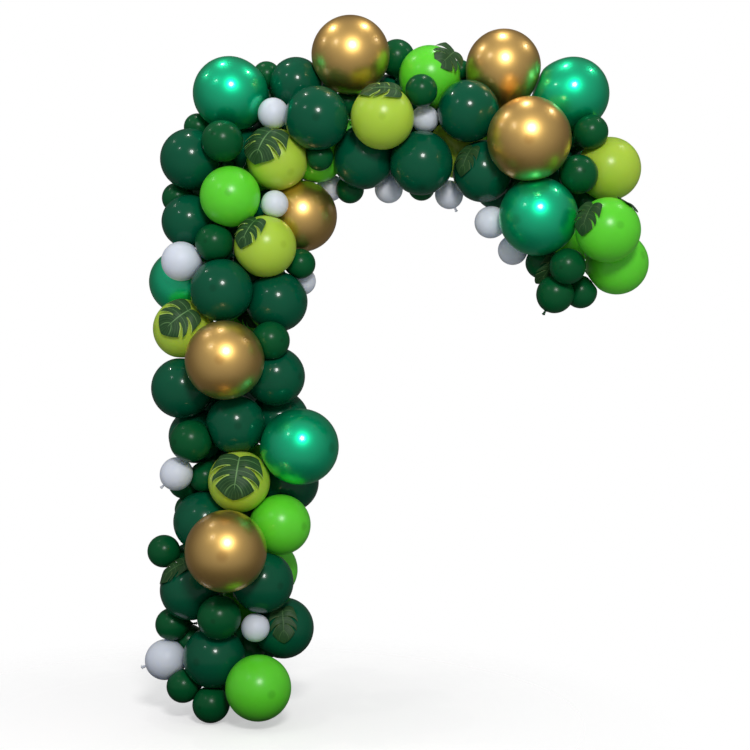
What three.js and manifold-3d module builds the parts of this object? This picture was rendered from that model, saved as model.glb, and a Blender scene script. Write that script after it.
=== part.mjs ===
// A balloon garland: half an arch of latex balloons, tied side by side on a clear decorating strip.
// Millimetres, +Z up. The origin is the hanging point on the upper face of the strip's level run.
// +X runs towards the short drop, and the garland's face looks towards -Y.

import * as THREE from 'three';
import { mergeVertices } from 'three/addons/utils/BufferGeometryUtils.js';
import Module from 'manifold-3d';

const wasm = await Module();
wasm.setup();

// ---- Driving dimensions ----

// The strip climbs a column, turns a corner, runs level past the hanging point and bends into a drop.
const strip = {
  width: 12,
  thickness: 1.5,
  columnHeight: 1725,
  cornerRadius: 315,
  levelRun: 520,
  dropRadius: 365,
  dropAngle: THREE.MathUtils.degToRad(75),
  dropLength: 310,
  arcSteps: 8,
};

// Radius of each kind of balloon when it is blown up to its usual size, and its latex.
const kinds = {
  gold: { radius: 136, color: 0xb08a52, roughness: 0.12, metalness: 0.9 },
  emerald: { radius: 128, color: 0x1f6f5c, roughness: 0.28, metalness: 0.6 },
  forest: { radius: 106, color: 0x123a2c, roughness: 0.2, metalness: 0 },
  grass: { radius: 107, color: 0x3f9a3a, roughness: 0.22, metalness: 0 },
  lime: { radius: 106, color: 0x9fc63c, roughness: 0.22, metalness: 0 },
};

// Shape of one balloon, as shares of its radius.
const tailReach = 1.42;
const tailTip = 0.08;
const shortTail = 1.25;
const meridianSteps = 6;
const waistSides = 10;

// How the balloons pack: pressed together, kept off the strip, and drawn back to where they are tied.
const squeeze = 0.05;
const stripClearance = 9;
const settleRounds = 400;
const settleRate = 0.3;
const drawBack = 0.01;
const contactGap = 0.3;

// Each balloon in the face of the garland: kind, millimetres along the strip from its foot, out from
// it (towards the outside of the arch), forward of it, and how full it is blown (1 where left out).
const columnBalloons = [
  ['grass', 79, -105, 100, 1.04],
  ['forest', 165, 55, 90, 1.02],
  ['forest', 255, -180, 40],
  ['forest', 395, 140, 80],
  ['forest', 430, -115, 110],
  ['grass', 445, -115, -40, 1.02],
  ['gold', 555, -5, 240],
  ['grass', 625, -175, 90, 0.97],
  ['forest', 630, 95, 70],
  ['forest', 760, -195, 0],
  ['lime', 775, -35, 140],
  ['emerald', 895, -246, 150, 1.02],
  ['forest', 925, 130, 20, 0.92],
  ['forest', 970, -20, 120, 0.97],
  ['forest', 980, -160, 0],
  ['forest', 1095, 170, 60],
  ['forest', 1135, -155, 70, 0.97],
  ['gold', 1190, 5, 240, 0.98],
  ['lime', 1300, 165, 60, 0.97],
  ['forest', 1395, -160, 80],
  ['forest', 1430, 25, 150, 1.02],
  ['emerald', 1470, 185, 10, 0.89],
  ['lime', 1580, -125, 140],
  ['forest', 1675, 150, 60, 0.88],
  ['gold', 1700, -240, 40, 0.93],
  ['grass', 1750, -5, 160, 0.97],
];
const cornerBalloons = [
  ['forest', 1835, 170, 70],
  ['lime', 1980, -95, 100],
  ['emerald', 2005, 195, 60],
  ['forest', 2155, 130, 30, 0.88],
  ['forest', 2205, -25, 150, 1.03],
];
const levelBalloons = [
  ['gold', 2320, 210, 80],
  ['forest', 2365, -141, 90, 1.03],
  ['lime', 2430, -28, 150, 1.02],
  ['forest', 2565, -170, 110, 1.03],
  ['grass', 2595, 140, 80],
  ['lime', 2700, -90, -40],
  ['forest', 2725, 5, 120],
];
const dropBalloons = [
  ['gold', 2815, 185, 60, 0.96],
  ['forest', 2825, -190, 80],
  ['gold', 2965, -50, 230, 1.04],
  ['emerald', 2985, 205, 50],
  ['lime', 3180, 150, 60, 1.04],
  ['emerald', 3270, -150, 170, 1.05],
  ['grass', 3380, 55, 110, 1.02],
  ['grass', 3490, 85, 30, 1.02],
];

// The backing row behind the strip: evenly spaced, in turn grass and forest, and left and right.
const backing = { first: 285, pitch: 255, count: 13, sway: 30, forward: -120 };

// ---- The strip ----

// The arc centres, in the plane of the arch: x along the level run from the hanging point, z up.
const cornerCentre = new THREE.Vector2(-strip.levelRun / 2, -strip.cornerRadius);
const dropCentre = new THREE.Vector2(strip.levelRun / 2, -strip.dropRadius);
const cornerLength = strip.cornerRadius * Math.PI / 2;
const dropArcLength = strip.dropRadius * strip.dropAngle;

// A point of the arch plane, from its distance along the strip and out from it.
function archPoint(along, out) {
  if (along < strip.columnHeight) {
    const x = cornerCentre.x - strip.cornerRadius - out;
    return new THREE.Vector2(x, cornerCentre.y - strip.columnHeight + along);
  }
  const pastColumn = along - strip.columnHeight;
  if (pastColumn < cornerLength) {
    return aroundArc(cornerCentre, strip.cornerRadius + out, Math.PI - pastColumn / strip.cornerRadius);
  }
  const pastCorner = pastColumn - cornerLength;
  if (pastCorner < strip.levelRun) {
    return new THREE.Vector2(cornerCentre.x + pastCorner, out);
  }
  const pastLevel = pastCorner - strip.levelRun;
  const turned = Math.min(pastLevel / strip.dropRadius, strip.dropAngle);
  const point = aroundArc(dropCentre, strip.dropRadius + out, Math.PI / 2 - turned);
  const pastArc = Math.max(pastLevel - dropArcLength, 0);
  return point.add(new THREE.Vector2(Math.cos(turned), -Math.sin(turned)).multiplyScalar(pastArc));
}

function aroundArc(centre, radius, angle) {
  return new THREE.Vector2(Math.cos(angle), Math.sin(angle)).multiplyScalar(radius).add(centre);
}

// The strip's outline seen from the front: out along its outer face and back along its inner one.
function stripOutline() {
  const inner = -strip.thickness;
  const footZ = cornerCentre.y - strip.columnHeight;
  const dropEnd = strip.columnHeight + cornerLength + strip.levelRun + dropArcLength + strip.dropLength;
  const arcEnd = Math.PI / 2 - strip.dropAngle;
  const outline = new THREE.Shape();
  outline.moveTo(archPoint(0, 0).x, footZ);
  outline.lineTo(archPoint(0, 0).x, cornerCentre.y);
  outline.absarc(cornerCentre.x, cornerCentre.y, strip.cornerRadius, Math.PI, Math.PI / 2, true);
  outline.absarc(dropCentre.x, dropCentre.y, strip.dropRadius, Math.PI / 2, arcEnd, true);
  outline.lineTo(archPoint(dropEnd, 0).x, archPoint(dropEnd, 0).y);
  outline.lineTo(archPoint(dropEnd, inner).x, archPoint(dropEnd, inner).y);
  outline.absarc(dropCentre.x, dropCentre.y, strip.dropRadius + inner, arcEnd, Math.PI / 2, false);
  outline.absarc(cornerCentre.x, cornerCentre.y, strip.cornerRadius + inner, Math.PI / 2, Math.PI, false);
  outline.lineTo(archPoint(0, inner).x, footZ);
  outline.closePath();
  return outline;
}

function makeStrip() {
  const geometry = new THREE.ExtrudeGeometry(stripOutline(), {
    depth: strip.width,
    bevelEnabled: false,
    curveSegments: strip.arcSteps,
  });
  geometry.translate(0, 0, -strip.width / 2);
  geometry.rotateX(Math.PI / 2);
  const material = new THREE.MeshStandardMaterial({ color: 0xe9ecea, roughness: 0.3, metalness: 0 });
  const mesh = new THREE.Mesh(geometry, material);
  mesh.name = 'decorating_strip';
  return mesh;
}

// ---- Placing the balloons ----

function backingBalloons() {
  const row = [];
  for (let i = 0; i < backing.count; i += 1) {
    const kind = i % 2 === 0 ? 'grass' : 'forest';
    const out = i % 2 === 0 ? -backing.sway : backing.sway;
    row.push([kind, backing.first + i * backing.pitch, out, backing.forward]);
  }
  return row;
}

// Names each balloon by its kind and its number along the strip, and gives it a centre and a radius.
function placeBalloons(placings) {
  const counts = {};
  const inOrder = [...placings].sort((a, b) => a[1] - b[1]);
  return inOrder.map(([kind, along, out, forward, fill = 1]) => {
    counts[kind] = (counts[kind] ?? 0) + 1;
    return {
      kind,
      name: `${kind}_balloon_${counts[kind]}`,
      radius: kinds[kind].radius * fill,
      arch: archPoint(along, out),
      tie: nearestOnStrip(along, out),
      out,
      tied: forward,
      forward,
    };
  });
}

// Where a balloon is tied: the point of the strip nearest to it.
function nearestOnStrip(along, out) {
  const point = archPoint(along, Math.sign(out) * strip.thickness);
  return new THREE.Vector3(point.x, 0, point.y);
}

// Presses the balloons into a stack. Each keeps its place in the face of the garland and slides only
// forward or back, until it sits against its neighbours and clears the strip.
function settle(balloons) {
  const frontToBack = [...balloons].sort((a, b) => b.tied - a.tied);
  for (let round = 0; round < settleRounds; round += 1) {
    for (let i = 0; i < frontToBack.length; i += 1) {
      const front = frontToBack[i];
      for (let j = i + 1; j < frontToBack.length; j += 1) {
        pushApart(front, frontToBack[j]);
      }
      clearStrip(front);
      front.forward -= drawBack * (front.forward - front.tied);
    }
  }
}

function pushApart(front, back) {
  const reach = (front.radius + back.radius) * (1 - squeeze);
  const beside = front.arch.distanceTo(back.arch);
  if (beside >= reach) {
    return;
  }
  const missing = Math.sqrt(reach ** 2 - beside ** 2) - (front.forward - back.forward);
  if (missing > 0) {
    front.forward += missing * settleRate / 2;
    back.forward -= missing * settleRate / 2;
  }
}

function clearStrip(balloon) {
  const reach = balloon.radius + stripClearance;
  const side = balloon.tied < 0 ? -1 : 1;
  if (Math.abs(balloon.out) < reach) {
    const needed = Math.sqrt(reach ** 2 - balloon.out ** 2);
    const missing = needed - side * balloon.forward;
    if (missing > 0) {
      balloon.forward += side * missing * settleRate;
    }
  }
}

// ---- One balloon ----

// Half the section of a balloon: a round crown and body that runs straight into a short tail.
function balloonProfile(radius, reach) {
  const shoulder = Math.acos(Math.min(radius / reach, 1));
  const points = [new THREE.Vector2(0, -reach)];
  if (reach > radius * shortTail) {
    points.push(new THREE.Vector2(radius * tailTip, -reach));
  }
  for (let i = 0; i <= meridianSteps; i += 1) {
    const angle = THREE.MathUtils.lerp(Math.max(shoulder, Math.PI / 12), Math.PI, i / meridianSteps);
    const across = i === meridianSteps ? 0 : radius * Math.sin(angle);
    points.push(new THREE.Vector2(across, -radius * Math.cos(angle)));
  }
  return points;
}

function toManifold(geometry) {
  const bare = geometry.clone();
  bare.deleteAttribute('normal');
  bare.deleteAttribute('uv');
  const merged = mergeVertices(bare, 1e-4);
  return new wasm.Manifold(new wasm.Mesh({
    numProp: 3,
    vertProperties: new Float32Array(merged.attributes.position.array),
    triVerts: new Uint32Array(merged.index.array),
  }));
}

function toGeometry(manifold) {
  const mesh = manifold.getMesh();
  const geometry = new THREE.BufferGeometry();
  geometry.setAttribute('position', new THREE.BufferAttribute(mesh.vertProperties, 3));
  geometry.setIndex(new THREE.BufferAttribute(mesh.triVerts, 1));
  geometry.computeVertexNormals();
  return geometry;
}

// A balloon turned so that its tail points at its tie, and short enough to stop before the strip.
function wholeBalloon(balloon) {
  const toTie = balloon.tie.clone().sub(balloon.centre);
  const room = toTie.length() - stripClearance;
  const reach = Math.max(Math.min(balloon.radius * tailReach, room), balloon.radius);
  const geometry = new THREE.LatheGeometry(balloonProfile(balloon.radius, reach), waistSides);
  const down = new THREE.Vector3(0, -1, 0);
  geometry.applyQuaternion(new THREE.Quaternion().setFromUnitVectors(down, toTie.normalize()));
  geometry.translate(...balloon.centre);
  balloon.reach = reach;
  return toManifold(geometry);
}

// A block that takes away all of a balloon past a flat contact, at this distance along a direction.
function contactCutter(balloon, direction, distance) {
  const depth = balloon.reach * 2;
  const geometry = new THREE.BoxGeometry(depth * 2, depth * 2, depth);
  const ahead = new THREE.Vector3(0, 0, 1);
  geometry.applyQuaternion(new THREE.Quaternion().setFromUnitVectors(ahead, direction));
  geometry.translate(...direction.clone().multiplyScalar(distance + depth / 2).add(balloon.centre));
  return toManifold(geometry);
}

// Flattens a balloon where it presses on each neighbour: on the plane through the circle in which
// the two round bodies would meet.
function pressAgainst(solid, balloon, neighbour) {
  const between = neighbour.centre.clone().sub(balloon.centre);
  const distance = between.length();
  const fuller = balloon.radius ** 2 - neighbour.radius ** 2;
  const contact = (distance ** 2 + fuller) / (2 * distance) - contactGap / 2;
  if (contact > balloon.reach) {
    return solid;
  }
  return solid.subtract(contactCutter(balloon, between.normalize(), contact));
}

// Flattens a balloon that is drawn in tight, so that it lies along the strip and not over it.
function pressOnStrip(solid, balloon) {
  const toTie = balloon.tie.clone().sub(balloon.centre);
  const contact = toTie.length() - stripClearance;
  if (contact > balloon.reach) {
    return solid;
  }
  return solid.subtract(contactCutter(balloon, toTie.normalize(), contact));
}

function makeBalloon(balloon, balloons) {
  let solid = pressOnStrip(wholeBalloon(balloon), balloon);
  for (const neighbour of balloons) {
    if (neighbour !== balloon) {
      solid = pressAgainst(solid, balloon, neighbour);
    }
  }
  const { color, roughness, metalness } = kinds[balloon.kind];
  const material = new THREE.MeshStandardMaterial({ color, roughness, metalness });
  const mesh = new THREE.Mesh(toGeometry(solid), material);
  mesh.name = balloon.name;
  return mesh;
}

// ---- The garland ----

function makeGarland() {
  const garland = new THREE.Group();
  garland.add(makeStrip());
  const balloons = placeBalloons([
    ...columnBalloons,
    ...cornerBalloons,
    ...levelBalloons,
    ...dropBalloons,
    ...backingBalloons(),
  ]);
  settle(balloons);
  for (const balloon of balloons) {
    balloon.centre = new THREE.Vector3(balloon.arch.x, -balloon.forward, balloon.arch.y);
  }
  for (const balloon of balloons) {
    garland.add(makeBalloon(balloon, balloons));
  }
  return garland;
}

export default makeGarland();
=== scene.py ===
"""Looks of a balloon garland.

A clear punched strip climbs a column, turns a corner, runs level and bends into a short drop. Large
latex balloons are tied on it, small ones are glued between them, and artificial monstera leaves lie
on some of them. Everything is in metres with +Z up, and the garland's face looks towards -Y.
"""

import logging
import math
from dataclasses import dataclass
from enum import Enum

import bpy
import numpy as np
from mathutils import Euler, Matrix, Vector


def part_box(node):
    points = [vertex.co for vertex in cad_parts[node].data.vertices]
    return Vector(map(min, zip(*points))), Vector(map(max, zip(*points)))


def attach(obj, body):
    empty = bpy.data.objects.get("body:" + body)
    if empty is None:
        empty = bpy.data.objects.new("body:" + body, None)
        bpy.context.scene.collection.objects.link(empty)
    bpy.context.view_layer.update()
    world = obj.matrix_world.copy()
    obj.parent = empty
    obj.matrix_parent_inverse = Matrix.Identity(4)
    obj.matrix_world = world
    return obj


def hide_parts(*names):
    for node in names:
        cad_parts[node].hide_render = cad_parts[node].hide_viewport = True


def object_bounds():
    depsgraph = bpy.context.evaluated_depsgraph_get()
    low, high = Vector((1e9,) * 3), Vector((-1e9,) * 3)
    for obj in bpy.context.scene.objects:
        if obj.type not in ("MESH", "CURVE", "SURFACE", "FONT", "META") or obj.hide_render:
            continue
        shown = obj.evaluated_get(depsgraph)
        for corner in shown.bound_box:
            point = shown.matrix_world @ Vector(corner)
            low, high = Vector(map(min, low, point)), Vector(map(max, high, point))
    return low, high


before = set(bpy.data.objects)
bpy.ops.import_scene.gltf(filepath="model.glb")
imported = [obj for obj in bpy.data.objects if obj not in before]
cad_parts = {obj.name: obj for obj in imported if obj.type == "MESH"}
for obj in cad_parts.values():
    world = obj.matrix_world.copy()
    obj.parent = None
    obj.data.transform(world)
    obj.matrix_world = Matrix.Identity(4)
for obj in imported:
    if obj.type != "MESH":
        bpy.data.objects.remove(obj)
cad_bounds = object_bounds()

log = logging.getLogger("balloon_garland")

STRIP_NODE = "decorating_strip"

# Where a balloon's texture passes from its body to its shoulder and from its shoulder to its neck.
BODY_SHARE = 0.8
NECK_SHARE = 0.93


# ---- Small tools ---------------------------------------------------------------------------------


def unit(vector: np.ndarray) -> np.ndarray:
    """Returns the vector at length one."""
    return vector / np.linalg.norm(vector)


def across_axes(axis: np.ndarray) -> tuple[np.ndarray, np.ndarray]:
    """Finds two unit directions that are square to an axis and to each other.

    Args:
        axis: A unit direction.

    Returns:
        The two directions, ordered so that they and the axis are right-handed.
    """
    helper = np.array([0.0, 0.0, 1.0]) if abs(axis[2]) < 0.8 else np.array([1.0, 0.0, 0.0])
    first = unit(np.cross(helper, axis))
    return first, np.cross(axis, first)


def facing(away: np.ndarray) -> Euler:
    """Returns the rotation that turns local +Z along a unit direction, so that -Z looks back."""
    side, up = across_axes(away)
    return Matrix((tuple(side), tuple(up), tuple(away))).transposed().to_euler()


def smooth_step(value: np.ndarray, low: float, high: float) -> np.ndarray:
    """Rises from 0 at low to 1 at high along the curve 3t^2 - 2t^3."""
    t = np.clip((value - low) / (high - low), 0.0, 1.0)
    return t * t * (3.0 - 2.0 * t)


def face_direction(bearing: float, lean: float) -> np.ndarray:
    """Turns two angles in the garland's face into a direction.

    Args:
        bearing: Degrees in the face, 0 towards +X and 90 towards +Z.
        lean: Degrees out of the face, 0 within it and 90 straight out of it, towards -Y.

    Returns:
        The unit direction.
    """
    turn, rise = math.radians(bearing), math.radians(lean)
    flat = math.cos(rise)
    return np.array([flat * math.cos(turn), -math.sin(rise), flat * math.sin(turn)])


@dataclass
class Surface:
    """Vertices, faces and texture places of one piece, joined from one or more patches."""

    points: np.ndarray
    faces: list[np.ndarray]
    uvs: list[np.ndarray]

    def joined(self, other: "Surface") -> "Surface":
        """Joins this surface and another.

        Args:
            other: The surface whose vertices come after this one's.

        Returns:
            Both as one surface.
        """
        shifted = [block + len(self.points) for block in other.faces]
        points = np.concatenate([self.points, other.points])
        return Surface(points, self.faces + shifted, self.uvs + other.uvs)

    def to_object(self, name: str) -> bpy.types.Object:
        """Makes a smooth-shaded mesh object at the origin.

        Args:
            name: The piece's name.

        Returns:
            The new object, linked to the scene.
        """
        corners = np.concatenate([block.ravel() for block in self.faces])
        sizes = np.concatenate([np.full(len(block), block.shape[1]) for block in self.faces])
        starts = np.concatenate([[0], np.cumsum(sizes)[:-1]])
        mesh = bpy.data.meshes.new(name)
        mesh.vertices.add(len(self.points))
        mesh.vertices.foreach_set("co", self.points.astype(np.float32).ravel())
        mesh.loops.add(len(corners))
        mesh.loops.foreach_set("vertex_index", corners.astype(np.int32))
        mesh.polygons.add(len(sizes))
        mesh.polygons.foreach_set("loop_start", starts.astype(np.int32))
        mesh.polygons.foreach_set("use_smooth", np.ones(len(sizes), dtype=bool))
        layer = mesh.uv_layers.new(name="UVMap")
        places = np.concatenate([block.reshape(-1, 2) for block in self.uvs])
        layer.data.foreach_set("uv", places.astype(np.float32).ravel())
        mesh.update(calc_edges=True)
        mesh.validate()
        piece = bpy.data.objects.new(name, mesh)
        bpy.context.scene.collection.objects.link(piece)
        return piece


def revolved(rings: np.ndarray, start: np.ndarray, end: np.ndarray, shares: np.ndarray) -> Surface:
    """Closes a stack of rings with a pole at each end.

    Args:
        rings: Points as (ring, step round the ring, 3), each ring without a repeated last point.
        start: The pole before the first ring.
        end: The pole after the last ring.
        shares: How far along the piece each ring is, from 0 at the start pole to 1 at the end pole.

    Returns:
        The closed surface. Its texture runs round the rings in u and from pole to pole in v.
    """
    count, around = rings.shape[:2]
    points = np.concatenate([start[None], rings.reshape(-1, 3), end[None]])
    ring, step = np.meshgrid(np.arange(count - 1), np.arange(around), indexing="ij")
    after = (step + 1) % around
    low, high = 1 + ring * around, 1 + (ring + 1) * around
    quads = np.stack([low + step, high + step, high + after, low + after], axis=-1).reshape(-1, 4)
    u0, u1 = step / around, (step + 1) / around
    v0, v1 = shares[ring], shares[ring + 1]
    quad_uv = np.stack([u0, v0, u0, v1, u1, v1, u1, v0], axis=-1).reshape(-1, 4, 2)
    edge = np.arange(around)
    following = (edge + 1) % around
    last = 1 + (count - 1) * around
    cap = np.stack([np.zeros(around, dtype=int), 1 + edge, 1 + following], axis=-1)
    tip = np.stack([np.full(around, len(points) - 1), last + following, last + edge], axis=-1)
    middle, left, right = (edge + 0.5) / around, edge / around, (edge + 1) / around
    zero, one = np.zeros(around), np.ones(around)
    near, far = np.full(around, shares[0]), np.full(around, shares[-1])
    cap_uv = np.stack([middle, zero, left, near, right, near], axis=-1).reshape(-1, 3, 2)
    tip_uv = np.stack([middle, one, right, far, left, far], axis=-1).reshape(-1, 3, 2)
    return Surface(points, [quads, cap, tip], [quad_uv, cap_uv, tip_uv])


def patches(points: np.ndarray, u: np.ndarray, v: np.ndarray) -> Surface:
    """Makes open patches, side by side in one piece, from grids of points.

    Args:
        points: Points as (patch, row, column, 3).
        u: Texture place across, one for each point.
        v: Texture place along, one for each point.

    Returns:
        The patches, their faces turned so that rows crossed with columns point outwards.
    """
    index = np.arange(points[..., 0].size).reshape(points.shape[:3])
    corners = [index[:, :-1, :-1], index[:, 1:, :-1], index[:, 1:, 1:], index[:, :-1, 1:]]
    quads = np.stack(corners, axis=-1).reshape(-1, 4)
    flat_uv = np.stack([u.ravel(), v.ravel()], axis=-1)
    return Surface(points.reshape(-1, 3), [quads], [flat_uv[quads]])


# ---- Shader parts --------------------------------------------------------------------------------


class Nodes:
    """A short way to add and join shader nodes in one tree."""

    def __init__(self, tree: bpy.types.NodeTree) -> None:
        """Keeps the tree that nodes are added to."""
        self.tree = tree

    def add(self, kind: str, **settings: object) -> bpy.types.Node:
        """Adds a node of a kind and sets its own properties.

        Args:
            kind: The node's type name.
            **settings: Property names and their values.

        Returns:
            The new node.
        """
        node = self.tree.nodes.new(kind)
        for name, value in settings.items():
            setattr(node, name, value)
        return node

    def feed(self, socket: bpy.types.NodeSocket, source: object) -> None:
        """Links a socket to another socket, or sets it to a plain value.

        Args:
            socket: The socket to feed.
            source: The other socket or the value.
        """
        if isinstance(source, bpy.types.NodeSocket):
            self.tree.links.new(source, socket)
        else:
            socket.default_value = source

    def feed_each(self, node: bpy.types.Node, sources: dict[str, object]) -> None:
        """Feeds several sockets of a node, each by its name."""
        for name, source in sources.items():
            self.feed(node.inputs[name], source)

    def math(self, operation: str, first: object, second: object = 0.0) -> bpy.types.NodeSocket:
        """Adds a Math node.

        Args:
            operation: What it works out.
            first: Its first socket or value.
            second: Its second socket or value.

        Returns:
            Its result.
        """
        node = self.add("ShaderNodeMath", operation=operation)
        self.feed(node.inputs[0], first)
        self.feed(node.inputs[1], second)
        return node.outputs[0]

    def span(self, value: object, low: float, high: float, start: float = 0.0,
             stop: float = 1.0) -> bpy.types.NodeSocket:
        """Maps a value smoothly from one span to another.

        Args:
            value: The value to map.
            low: Where the first span begins.
            high: Where the first span ends.
            start: What low becomes.
            stop: What high becomes.

        Returns:
            The mapped value.
        """
        node = self.add("ShaderNodeMapRange", interpolation_type="SMOOTHSTEP")
        self.feed_each(node, {"Value": value, "From Min": low, "From Max": high,
                              "To Min": start, "To Max": stop})
        return node.outputs["Result"]

    def blend(self, factor: object, first: object, second: object) -> bpy.types.NodeSocket:
        """Mixes two colours.

        Args:
            factor: 0 for the first colour and 1 for the second.
            first: The first colour.
            second: The second colour.

        Returns:
            The mixed colour.
        """
        node = self.add("ShaderNodeMix", data_type="RGBA")
        self.feed(node.inputs[0], factor)
        self.feed(node.inputs[6], first)
        self.feed(node.inputs[7], second)
        return node.outputs[2]

    def noise(self, scale: float, detail: float, vector: object) -> bpy.types.NodeSocket:
        """Adds a Noise Texture.

        Args:
            scale: How fine it is.
            detail: How many finer layers it has.
            vector: The place it is read at.

        Returns:
            Its value.
        """
        node = self.add("ShaderNodeTexNoise")
        self.feed_each(node, {"Vector": vector, "Scale": scale, "Detail": detail})
        return node.outputs["Fac"]

    def bump(self, strength: float, distance: float, height: object) -> bpy.types.NodeSocket:
        """Adds a Bump node.

        Args:
            strength: How much of the bump shows.
            distance: How high a height of one is, in metres.
            height: The height.

        Returns:
            The bumped normal.
        """
        node = self.add("ShaderNodeBump")
        self.feed_each(node, {"Strength": strength, "Distance": distance, "Height": height})
        return node.outputs["Normal"]


def new_material(name: str) -> tuple[bpy.types.Material, Nodes, bpy.types.Node]:
    """Starts a material.

    Args:
        name: The material's name.

    Returns:
        The material, the tool for its nodes and its shader.
    """
    made = bpy.data.materials.new(name)
    made.use_nodes = True
    return made, Nodes(made.node_tree), made.node_tree.nodes["Principled BSDF"]


def stretched_latex_group() -> bpy.types.NodeTree:
    """Builds the look of stretched latex: thick and deep at the crown and the neck, cloudy between.

    Returns:
        A group that gives the colour, the roughness and a faintly uneven normal.
    """
    group = bpy.data.node_groups.new("stretched_latex", "ShaderNodeTree")
    sockets = {
        "INPUT": {"Thin": "Color", "Thick": "Color", "Cloud": "Float", "Roughness": "Float",
                  "Dust": "Float"},
        "OUTPUT": {"Color": "Color", "Roughness": "Float", "Normal": "Vector"},
    }
    for side, kinds in sockets.items():
        for name, kind in kinds.items():
            group.interface.new_socket(name=name, in_out=side, socket_type="NodeSocket" + kind)
    nodes = Nodes(group)
    given, result = nodes.add("NodeGroupInput"), nodes.add("NodeGroupOutput")
    place = nodes.add("ShaderNodeUVMap", uv_map="UVMap").outputs["UV"]
    along = nodes.add("ShaderNodeSeparateXYZ")
    nodes.feed(along.inputs[0], place)
    crown = nodes.span(along.outputs["Y"], 0.015, 0.06, 0.55, 0.0)
    neck = nodes.span(along.outputs["Y"], 0.70, NECK_SHARE)
    thick = nodes.math("MAXIMUM", crown, neck)
    where = nodes.add("ShaderNodeTexCoord").outputs["Object"]
    cloud = nodes.span(nodes.noise(9.0, 3.0, where), 0.35, 0.7)
    cloud = nodes.math("MULTIPLY", cloud, given.outputs["Cloud"])
    depth = nodes.math("MAXIMUM", thick, cloud)
    nodes.feed(result.inputs["Color"], nodes.blend(depth, given.outputs["Thin"], given.outputs["Thick"]))
    specks = nodes.span(nodes.noise(240.0, 2.0, where), 0.55, 0.75)
    smears = nodes.span(nodes.noise(22.0, 4.0, where), 0.5, 0.72)
    dust = nodes.math("MULTIPLY", nodes.math("MULTIPLY", specks, smears), given.outputs["Dust"])
    nodes.feed(result.inputs["Roughness"], nodes.math("ADD", given.outputs["Roughness"], dust))
    nodes.feed(result.inputs["Normal"], nodes.bump(0.05, 0.0006, nodes.noise(55.0, 1.0, where)))
    return group


@dataclass(frozen=True)
class LatexFinish:
    """How one latex looks: its thin and thick colours, its gloss and the metal or milk in it.

    edge tints the reflections at the balloon's rim, and glow_depth is how far light spreads in it.
    """

    thin: tuple[float, float, float]
    thick: tuple[float, float, float]
    roughness: float
    metallic: float = 0.0
    coat: float = 0.0
    coat_roughness: float = 0.05
    coat_ior: float = 1.5
    edge: tuple[float, float, float] = (1.0, 1.0, 1.0)
    gloss: float = 0.5
    glow: float = 0.0
    glow_depth: float = 0.03
    cloud: float = 0.15
    dust: float = 0.05

    def material(self, name: str, group: bpy.types.NodeTree) -> bpy.types.Material:
        """Makes the Blender material of this latex.

        Args:
            name: The material's name.
            group: The stretched latex group.

        Returns:
            The material.
        """
        made, nodes, shader = new_material(name)
        skin = nodes.add("ShaderNodeGroup", node_tree=group)
        nodes.feed_each(skin, {
            "Thin": (*self.thin, 1.0),
            "Thick": (*self.thick, 1.0),
            "Cloud": self.cloud,
            "Roughness": self.roughness,
            "Dust": self.dust,
        })
        nodes.feed_each(shader, {
            "Base Color": skin.outputs["Color"],
            "Roughness": skin.outputs["Roughness"],
            "Normal": skin.outputs["Normal"],
            "Metallic": self.metallic,
            "Specular IOR Level": self.gloss,
            "Specular Tint": (*self.edge, 1.0),
            "Coat Weight": self.coat,
            "Coat Roughness": self.coat_roughness,
            "Coat IOR": self.coat_ior,
            "Subsurface Weight": self.glow,
            "Subsurface Radius": self.thin,
            "Subsurface Scale": self.glow_depth,
        })
        return made


class Latex(Enum):
    """The latexes of the garland. Each value is the name of the record's material slot."""

    GOLD = "gold_latex"
    EMERALD = "emerald_latex"
    FOREST = "forest_latex"
    GRASS = "grass_latex"
    LIME = "lime_latex"
    PINE = "pine_latex"
    WHITE = "white_latex"


FINISHES = {
    Latex.GOLD: LatexFinish((0.93, 0.58, 0.15), (0.62, 0.31, 0.05), 0.4, metallic=1.0, coat=1.0,
                            coat_roughness=0.24, coat_ior=1.7, edge=(1.0, 0.8, 0.5), cloud=0.1),
    Latex.EMERALD: LatexFinish((0.0, 0.7, 0.33), (0.0, 0.42, 0.15), 0.4, metallic=0.86, coat=0.9,
                               coat_roughness=0.14, edge=(0.1, 0.9, 0.5), cloud=0.1),
    Latex.FOREST: LatexFinish((0.0003, 0.094, 0.043), (0.0003, 0.052, 0.022), 0.22, coat=0.22,
                              coat_roughness=0.05, gloss=0.17),
    Latex.GRASS: LatexFinish((0.13, 0.76, 0.032), (0.075, 0.5, 0.016), 0.3, gloss=0.42, glow=0.2),
    Latex.LIME: LatexFinish((0.48, 0.7, 0.065), (0.36, 0.55, 0.032), 0.3, gloss=0.36, glow=0.5,
                            glow_depth=0.08),
    Latex.PINE: LatexFinish((0.001, 0.092, 0.025), (0.001, 0.05, 0.013), 0.28, gloss=0.19),
    Latex.WHITE: LatexFinish((0.75, 0.81, 0.97), (0.7, 0.76, 0.9), 0.4, gloss=0.3, glow=0.5,
                             glow_depth=0.08, cloud=0.05),
}


# ---- The strip -----------------------------------------------------------------------------------


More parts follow.
